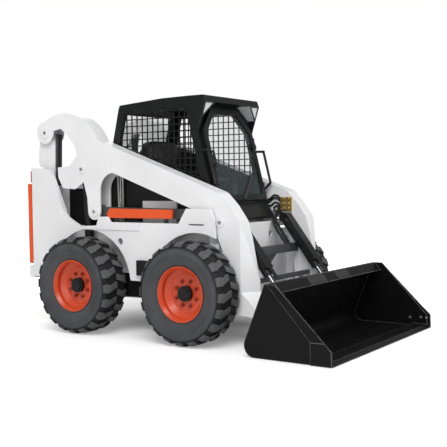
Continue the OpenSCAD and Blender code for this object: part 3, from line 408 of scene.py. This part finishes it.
# the nuts are the rim's orange, darkened as painted shade around the hub
nutEnamelShaded = enamel("nutEnamelShaded", (0.30, 0.032, 0.008), (0.22, 0.10, 0.07), (0.16, 0.05, 0.03), rough=0.36)
gripRubber = castIron("gripRubber", (0.020, 0.020, 0.021))
beamShade = {"top": 0.981}  # painted shade on the lift arm support reaches up to this height
beamEnamelPaintedShade = paintShadeBelow(enamel("beamEnamelPaintedShade", **machineOrange), beamShade["top"])

axles = {"front": (axleX, 0.41), "rear": (axleX - 1.14, 0.41)}
treads = {end: tyreRubber(end + "Rubber", axles[end], tyre) for end in axles}
for part in frame["record"]["subparts"]:
    node, slot = part["node"], part["material_slot"]
    if node == "lift_support":
        coat = beamEnamelPaintedShade
    elif slot == "tyre":
        coat = treads[node.split("_")[1]]
    else:
        coat = finishes[slot]
    nodes[node].data.materials.clear()
    nodes[node].data.materials.append(coat)


def piece(name, mesh, finish, body):
    obj = place(name, mesh)
    mesh.materials.clear()
    mesh.materials.append(finish)
    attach(obj, body)
    return obj


def boxMesh(bm, low, high):
    made = bmesh.ops.create_cube(bm, size=1)["verts"]
    middle = (Vector(low) + Vector(high)) / 2
    size = Vector(high) - Vector(low)
    for v in made:
        v.co = Vector((v.co.x * size.x, v.co.y * size.y, v.co.z * size.z)) + middle


def rodMesh(bm, a, b, radius, sides=16):
    a, b = Vector(a), Vector(b)
    turn = (b - a).to_track_quat("Z", "Y").to_matrix().to_4x4()
    turn.translation = (a + b) / 2
    bmesh.ops.create_cone(bm, cap_ends=True, segments=sides, radius1=radius, radius2=radius,
                          depth=(b - a).length, matrix=turn)


def slabMesh(bm, outline, y0, y1):
    # a side view outline between two planes across the machine
    near = [bm.verts.new((x + axleX, y0, z)) for x, z in outline]
    far = [bm.verts.new((x + axleX, y1, z)) for x, z in outline]
    bm.faces.new(near)
    bm.faces.new(far)
    for i in range(len(outline)):
        j = (i + 1) % len(outline)
        bm.faces.new((near[i], near[j], far[j], far[i]))


def curvePoint(p, f):
    # a smooth curve from the second of four points to the third
    slope = p[2] - p[0]
    bend = 2 * p[0] - 5 * p[1] + 4 * p[2] - p[3]
    turn = 3 * p[1] - p[0] - 3 * p[2] + p[3]
    return 0.5 * (2 * p[1] + slope * f + bend * f ** 2 + turn * f ** 3)


def tubeMesh(bm, points, radius, sides=10, steps=6):
    # a bent pipe: rings along a curve through the points
    last = len(points) - 1
    path = []
    for i in range(last):
        four = [points[max(0, min(last, i + k))] for k in (-1, 0, 1, 2)]
        path += [curvePoint(four, j / steps) for j in range(steps)]
    path.append(points[last])
    rings = []
    for i, c in enumerate(path):
        along = (path[min(i + 1, len(path) - 1)] - path[max(i - 1, 0)]).normalized()
        out = (Vector((0, 1, 0)) - along * along.y).normalized()
        rise = along.cross(out)
        turns = [math.tau * k / sides for k in range(sides)]
        rings.append([bm.verts.new(c + radius * (math.cos(a) * out + math.sin(a) * rise)) for a in turns])
    for a, b in zip(rings, rings[1:]):
        for k in range(sides):
            bm.faces.new((a[k], a[(k + 1) % sides], b[(k + 1) % sides], b[k]))
    bm.faces.new(rings[0])
    bm.faces.new(rings[-1])


def meshOf(name, bm, smooth=False):
    bmesh.ops.recalc_face_normals(bm, faces=bm.faces)
    for f in bm.faces:
        f.smooth = smooth
    mesh = bpy.data.meshes.new(name)
    bm.to_mesh(mesh)
    bm.free()
    return mesh


def boltGroup():
    # a hex head with a stud on every point it is given
    g = bpy.data.node_groups.new("boltField", "GeometryNodeTree")
    named = {}
    for label, kind in (("Points", "Geometry"), ("Head Radius", "Float"), ("Head Height", "Float"),
                        ("Stud Radius", "Float"), ("Stud Height", "Float"), ("Finish", "Material")):
        socket = g.interface.new_socket(label, in_out="INPUT", socket_type="NodeSocket" + kind)
        named[label] = socket.identifier
    g.interface.new_socket("Bolts", in_out="OUTPUT", socket_type="NodeSocketGeometry")
    enter = add(g, "NodeGroupInput")
    leave = add(g, "NodeGroupOutput")
    both = add(g, "GeometryNodeJoinGeometry")
    for what, sides in (("Head", 6), ("Stud", 12)):
        rod = preset(add(g, "GeometryNodeMeshCylinder"), {"Vertices": sides})
        half = add(g, "ShaderNodeMath", operation="MULTIPLY")
        half.inputs[1].default_value = 0.5
        up = add(g, "ShaderNodeCombineXYZ")
        lift = add(g, "GeometryNodeTransform")
        g.links.new(enter.outputs[what + " Radius"], rod.inputs["Radius"])
        g.links.new(enter.outputs[what + " Height"], rod.inputs["Depth"])
        g.links.new(enter.outputs[what + " Height"], half.inputs[0])
        g.links.new(half.outputs[0], up.inputs["Z"])
        g.links.new(rod.outputs["Mesh"], lift.inputs["Geometry"])
        g.links.new(up.outputs[0], lift.inputs["Translation"])
        g.links.new(lift.outputs[0], both.inputs[0])
    spread = add(g, "GeometryNodeInstanceOnPoints")
    real = add(g, "GeometryNodeRealizeInstances")
    paint = add(g, "GeometryNodeSetMaterial")
    g.links.new(enter.outputs["Points"], spread.inputs["Points"])
    g.links.new(both.outputs[0], spread.inputs["Instance"])
    g.links.new(spread.outputs[0], real.inputs[0])
    g.links.new(real.outputs[0], paint.inputs["Geometry"])
    g.links.new(enter.outputs["Finish"], paint.inputs["Material"])
    g.links.new(paint.outputs[0], leave.inputs[0])
    return g, named


boltField, boltInputs = boltGroup()


def bolts(name, points, turn, b, finish, body):
    # points lie in the bolts' own plane, turn takes that plane to its place
    mesh = bpy.data.meshes.new(name + "Points")
    mesh.from_pydata([tuple(q) for q in points], [], [])
    seed = place(name + "Points", mesh)
    mod = seed.modifiers.new("bolts", "NODES")
    mod.node_group = boltField
    sizes = {"Head Radius": b["head"], "Head Height": b["tall"],
             "Stud Radius": b["stud"], "Stud Height": b["studTall"]}
    for label, value in sizes.items():
        mod[boltInputs[label]] = value
    mod[boltInputs["Finish"]] = finish
    made = bpy.data.meshes.new_from_object(seed.evaluated_get(bpy.context.evaluated_depsgraph_get()))
    made.name = name
    bpy.data.objects.remove(seed)
    made.transform(turn)
    piece(name, made, finish, body)


def facing(side, x, y, z):
    # local z points out of the machine's side
    m = Matrix.Rotation(math.radians(-90 * side), 4, "X")
    m.translation = Vector((x, y, z))
    return m


# the opening reaches higher than the solid's; the pane bends where the rear wall starts to lean
rearGlazing = {"half": 0.320, "low": 1.415, "high": 1.872, "depth": (-1.100, -0.930),
               "gap": 0.001, "weld": 0.00001,
               "pane": [(-1.052, 1.416), (-1.046, 1.416), (-1.046, 1.622), (-0.984, 1.871),
                        (-0.990, 1.871), (-1.052, 1.626)]}


def cutRearWall(r):
    bm = bmesh.new()
    bm.from_mesh(nodes["cab_frame"].data)
    bmesh.ops.remove_doubles(bm, verts=bm.verts, dist=r["weld"])
    shell = place("cabShellWhole", bpy.data.meshes.new("cabShellWhole"))
    bm.to_mesh(shell.data)
    bm.free()
    bm = bmesh.new()
    back, fore = (x + axleX for x in r["depth"])
    boxMesh(bm, (back, -r["half"], r["low"]), (fore, r["half"], r["high"]))
    cutter = place("rearCutter", meshOf("rearCutter", bm))
    cut = shell.modifiers.new("rearOpening", "BOOLEAN")
    cut.operation = "DIFFERENCE"
    cut.solver = "EXACT"
    cut.object = cutter
    made = bpy.data.meshes.new_from_object(shell.evaluated_get(bpy.context.evaluated_depsgraph_get()))
    made.name = "cabShell"
    for obj in (shell, cutter):
        bpy.data.objects.remove(obj)
    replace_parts(piece("cabShell", made, finishes["cab_black"], "cab"), "cab_frame")


def rearPane(r):
    bm = bmesh.new()
    slabMesh(bm, r["pane"], r["gap"] - r["half"], r["half"] - r["gap"])
    pane = piece("rearPane", meshOf("rearPane", bm), finishes["clear_glass"], "cab")
    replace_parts(pane, "rear_window")


cutRearWall(rearGlazing)
rearPane(rearGlazing)
print("rear glazing set")

wheelNuts = {"count": 8, "ring": 0.1016, "face": 0.7862,
             "head": 0.0165, "tall": 0.016, "stud": 0.0085, "studTall": 0.030}
nutTurns = [math.tau * (i + 0.5) / wheelNuts["count"] for i in range(wheelNuts["count"])]
nutRing = [(wheelNuts["ring"] * math.cos(a), wheelNuts["ring"] * math.sin(a), 0) for a in nutTurns]
for end, (x, z) in axles.items():
    for hand, side in hands:
        spot = facing(side, x, side * wheelNuts["face"], z)
        body = "wheel_%s_%s" % (end, hand.lower())
        bolts("wheelNuts" + end.title() + hand, nutRing, spot, wheelNuts, nutEnamelShaded, body)
print("wheel nuts set")

# the bucket's cutter bolts stand inside its ends, the cap bolts outside the arms' pins
cutterBolts = {"head": 0.013, "tall": 0.006, "stud": 0.007, "studTall": 0.012, "face": 0.9202,
               "spots": [(1.155, 0.080), (1.253, 0.087), (1.304, 0.087)]}
capBolts = {"head": 0.015, "tall": 0.007, "stud": 0.006, "studTall": 0.009, "face": 0.6108,
            "spots": [(-1.700, 1.734), (-1.120, 1.030), (-1.262, 1.400), (0.200, 0.960)]}
boltRows = (("cutterBolts", cutterBolts, "bucket", -1), ("capBolts", capBolts, "lift_arms", 1))
for name, d, body, outward in boltRows:
    for hand, side in hands:
        row = [(x + axleX, -outward * side * z, 0) for x, z in d["spots"]]
        spot = facing(outward * side, 0, side * d["face"], 0)
        bolts(name + hand, row, spot, d, steel, body)
print("bolts set")

lip = {"top": (0.8254, 0, 0.5446), "low": (0.8774, 0, 0.4786), "margin": 0.006, "thick": 0.003, "sink": 0.001,
       "pads": [(-0.370, -0.090), (0.095, 0.323)],
       "pitch": 0.020, "head": 0.0052, "tall": 0.0022, "stud": 0.003, "studTall": 0.003, "studSink": 0.0005}


def stepPad(name, d, y0, y1):
    # a studded sheet on the bucket's sloped lip
    top, low = Vector(d["top"]) + ahead, Vector(d["low"]) + ahead
    down = (low - top).normalized()
    out = Vector((-down.z, 0, down.x))
    wide = (low - top).length - 2 * d["margin"]
    m = Matrix.Identity(4)
    for i, axis in enumerate((down, Vector((0, 1, 0)), out)):
        for k in range(3):
            m[k][i] = axis[k]
    m.translation = top + down * d["margin"] + Vector((0, y0, 0))
    bm = bmesh.new()
    boxMesh(bm, (0, 0, -d["sink"]), (wide, y1 - y0, d["thick"]))
    sheet = meshOf(name, bm)
    sheet.transform(m)
    piece(name, sheet, gripRubber, "bucket")
    rows = int(wide / d["pitch"])
    studs = int((y1 - y0) / d["pitch"])
    foot = d["thick"] - d["studSink"]
    grid = [((i + 0.5) * wide / rows, (j + 0.5) * (y1 - y0) / studs, foot)
            for i in range(rows) for j in range(studs)]
    bolts(name + "Studs", grid, m, d, gripRubber, "bucket")


for i, (y0, y1) in enumerate(lip["pads"]):
    stepPad("stepPad%d" % (i + 1), lip, y0, y1)
print("step pads laid")

front = {"x": 0.046, "z": 0.950, "lean": 14.4}  # foot of the cab's front plane, and its lean in degrees


def onFront(out, y, up):
    # a point by its distance out of the cab front, across, and up along it
    c, n = math.cos(math.radians(front["lean"])), math.sin(math.radians(front["lean"]))
    return Vector((front["x"] + axleX + out * c - up * n, y, front["z"] + out * n + up * c))


# pairs are places across and up the cab front
wiper = {"pivot": (0.318, 0.640), "hub": (0.022, 0.062), "hubRadius": 0.030, "hubSides": 24,
         "tip": (0.222, 0.392), "armOut": (0.054, 0.048), "armRadius": 0.010,
         "blade": [(0.228, 0.398), (0.008, 0.172)], "bladeOut": 0.036, "bladeRadius": 0.012, "sides": 10}


def wiperPieces(w):
    bm = bmesh.new()
    inner, outer = (onFront(out, *w["pivot"]) for out in w["hub"])
    rodMesh(bm, inner, outer, w["hubRadius"], w["hubSides"])
    start, end = onFront(w["armOut"][0], *w["pivot"]), onFront(w["armOut"][1], *w["tip"])
    rodMesh(bm, start, end, w["armRadius"], w["sides"])
    piece("wiperArm", meshOf("wiperArm", bm), finishes["black_paint"], "front_door")
    bm = bmesh.new()
    high, low = (onFront(w["bladeOut"], *spot) for spot in w["blade"])
    rodMesh(bm, high, low, w["bladeRadius"], w["sides"])
    piece("wiperBlade", meshOf("wiperBlade", bm), gripRubber, "front_door")


doorHandle = {"y": -0.348, "low": 0.450, "high": 0.590, "out": 0.068, "face": 0.034,
              "radius": 0.009, "inset": 0.012, "legRadius": 0.008}


def handlePiece(h):
    bm = bmesh.new()
    rodMesh(bm, onFront(h["out"], h["y"], h["low"]), onFront(h["out"], h["y"], h["high"]), h["radius"])
    for up in (h["low"] + h["inset"], h["high"] - h["inset"]):
        rodMesh(bm, onFront(h["face"], h["y"], up), onFront(h["out"], h["y"], up), h["legRadius"])
    piece("doorHandle", meshOf("doorHandle", bm), finishes["black_paint"], "front_door")


wiperPieces(wiper)
handlePiece(doorHandle)
print("wiper and handle hung")

lampBezel = {"radius": 0.0060, "sides": 10, "outer": 0.404, "inner": 0.282,
             "top": (-0.0665, 1.931), "low": (-0.1020, 1.818)}
for hand, side in hands:
    (topX, topZ), (lowX, lowZ) = lampBezel["top"], lampBezel["low"]
    corner = Vector((topX + axleX, side * lampBezel["outer"], topZ))
    inner = Vector((topX + axleX, side * lampBezel["inner"], topZ))
    foot = Vector((lowX + axleX, side * lampBezel["outer"], lowZ))
    bm = bmesh.new()
    for a, b in ((corner, inner), (inner, foot), (foot, corner)):
        rodMesh(bm, a, b, lampBezel["radius"], lampBezel["sides"])
    piece("lampBezel" + hand, meshOf("lampBezel" + hand, bm), gripRubber, "cab")
print("lamp bezels set")

oilPipes = {"radius": 0.009, "y": 0.440, "low": 0.925, "lanes": [(-0.958, 1.345), (-0.932, 1.330)],
            "dip": (0, 0, -0.004), "elbow": (-0.040, 0, 0.014)}
for hand, side in hands:
    bm = bmesh.new()
    for x, top in oilPipes["lanes"]:
        bend = Vector((x + axleX, side * oilPipes["y"], top))
        rodMesh(bm, (x + axleX, side * oilPipes["y"], oilPipes["low"]), bend, oilPipes["radius"])
        rodMesh(bm, bend + Vector(oilPipes["dip"]), bend + Vector(oilPipes["elbow"]), oilPipes["radius"])
    piece("oilPipes" + hand, meshOf("oilPipes" + hand, bm), steel, "chassis")
print("oil pipes laid")

linkGuard = {"y": (0.501, 0.569), "outline": [(-1.766, 1.430), (-1.760, 1.668), (-1.798, 1.676),
                                              (-1.814, 1.600), (-1.826, 1.468), (-1.806, 1.430)]}
for hand, side in hands:
    bm = bmesh.new()
    slabMesh(bm, linkGuard["outline"], side * linkGuard["y"][0], side * linkGuard["y"][1])
    guard = meshOf("linkGuard" + hand, bm)
    piece("linkGuard" + hand, guard, finishes["white_paint"], "rear_links")
print("link guards set")

stubCap = {"x": 0.200, "z": 0.960, "y": (0.3662, 0.3602), "radius": 0.031, "sides": 28}
for hand, side in hands:
    outer, inner = (Vector((stubCap["x"], side * y, stubCap["z"])) + ahead for y in stubCap["y"])
    bm = bmesh.new()
    rodMesh(bm, outer, inner, stubCap["radius"], stubCap["sides"])
    piece("stubCap" + hand, meshOf("stubCap" + hand, bm), finishes["black_paint"], "lift_arms")
print("stub caps set")

# two lines down the left tilt cylinder, as points x, y, z
tiltLines = {"radius": 0.0125, "lanes": [
    [(0.120, 0.445, 1.040), (0.132, 0.400, 1.006), (0.142, 0.352, 0.968), (0.158, 0.330, 0.925),
     (0.192, 0.328, 0.870), (0.250, 0.328, 0.790), (0.300, 0.328, 0.722)],
    [(0.120, 0.445, 1.010), (0.128, 0.390, 0.976), (0.136, 0.330, 0.945), (0.152, 0.304, 0.905),
     (0.184, 0.300, 0.852), (0.236, 0.300, 0.782), (0.290, 0.300, 0.712)]]}

# four lines from the couplings along the left arm's inner face, as points x, z
armLines = {"radius": 0.0078, "y": 0.4565, "lanes": [
    [(0.128, 1.118), (0.100, 1.146), (0.060, 1.150), (0.020, 1.120),
     (-0.030, 1.108), (-0.110, 1.126), (-0.300, 1.194)],
    [(0.128, 1.098), (0.096, 1.124), (0.056, 1.124), (0.020, 1.098),
     (-0.026, 1.088), (-0.110, 1.110), (-0.300, 1.178)],
    [(0.128, 1.060), (0.092, 1.086), (0.058, 1.082), (0.028, 1.058),
     (-0.024, 1.066), (-0.110, 1.092), (-0.300, 1.160)],
    [(0.130, 1.040), (0.100, 1.056), (0.074, 1.050), (0.060, 1.030),
     (0.076, 1.014), (0.110, 1.002), (0.150, 0.990)]]}


def lines(name, lanes, radius):
    bm = bmesh.new()
    for lane in lanes:
        tubeMesh(bm, [Vector(p) + ahead for p in lane], radius)
    piece(name, meshOf(name, bm, True), finishes["black_paint"], "lift_arms")


lines("tiltLines", tiltLines["lanes"], tiltLines["radius"])
armLanes = [[(x, armLines["y"], z) for x, z in lane] for lane in armLines["lanes"]]
lines("armLines", armLanes, armLines["radius"])
print("lines laid on the left arm")

# up is the axis that the cushion's face looks along
cushions = {
    "seatCushion": {"low": (-0.900, -0.240, 1.075), "high": (-0.430, 0.240, 1.205), "up": 2, "crown": 0.022},
    "seatBack": {"low": (-0.925, -0.225, 1.150), "high": (-0.795, 0.225, 1.645), "up": 0, "crown": 0.024},
}
padding = {"cuts": 19, "square": 6, "flutes": (-0.5, 0.5), "fluteWidth": 0.07, "fluteDepth": 0.009,
           "welt": 0.02, "sink": 0.012}


def cushion(name, d, p):
    # a box drawn in to round shoulders, with a crown and stitched grooves on its upper face
    bm = bmesh.new()
    bmesh.ops.create_cube(bm, size=2)
    bmesh.ops.subdivide_edges(bm, edges=bm.edges, cuts=p["cuts"], use_grid_fill=True)
    half = [(d["high"][i] - d["low"][i]) / 2 for i in range(3)]
    middle = [(d["high"][i] + d["low"][i]) / 2 for i in range(3)]
    up = d["up"]
    one, other = (i for i in range(3) if i != up)
    ease = (half[up] * 2 - p["welt"]) / (half[up] * 2)
    for v in bm.verts:
        u = list(v.co)
        spread = sum(abs(c) ** p["square"] for c in u) ** (1 / p["square"])
        reach = max(abs(c) for c in u)
        co = [middle[i] + half[i] * u[i] / spread * reach for i in range(3)]
        if u[up] > 0:
            rise = (1 - u[one] ** 2) * (1 - u[other] ** 2) * u[up]
            groove = sum(math.exp(-((u[1] - f) / p["fluteWidth"]) ** 2) for f in p["flutes"])
            co[up] += (rise * d["crown"] - p["fluteDepth"] * groove * min(1, 3 * rise)) * ease - p["sink"]
        v.co = Vector(co) + ahead
    return meshOf(name, bm, True)


for name, d in cushions.items():
    pad = piece(name, cushion(name, d, padding), finishes["seat_vinyl"], "cab")
    if name == "seatCushion":
        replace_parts(pad, "seat")


def boxPiece(name, boxes, finish, body):
    bm = bmesh.new()
    for low, high in boxes:
        boxMesh(bm, Vector(low) + ahead, Vector(high) + ahead)
    piece(name, meshOf(name, bm), finish, body)


seatFrame = {"base": ((-0.905, -0.215, 0.971), (-0.470, 0.215, 1.090)),
             "spine": ((-0.935, -0.200, 1.060), (-0.905, 0.200, 1.560))}
boxPiece("seatFrame", seatFrame.values(), finishes["black_paint"], "cab")
print("seat dressed")

tailLatch = {"grip": ((-1.916, -0.600, 0.880), (-1.898, -0.540, 1.000))}
boxPiece("tailLatch", tailLatch.values(), gripRubber, "rear_door")
print("latch set")
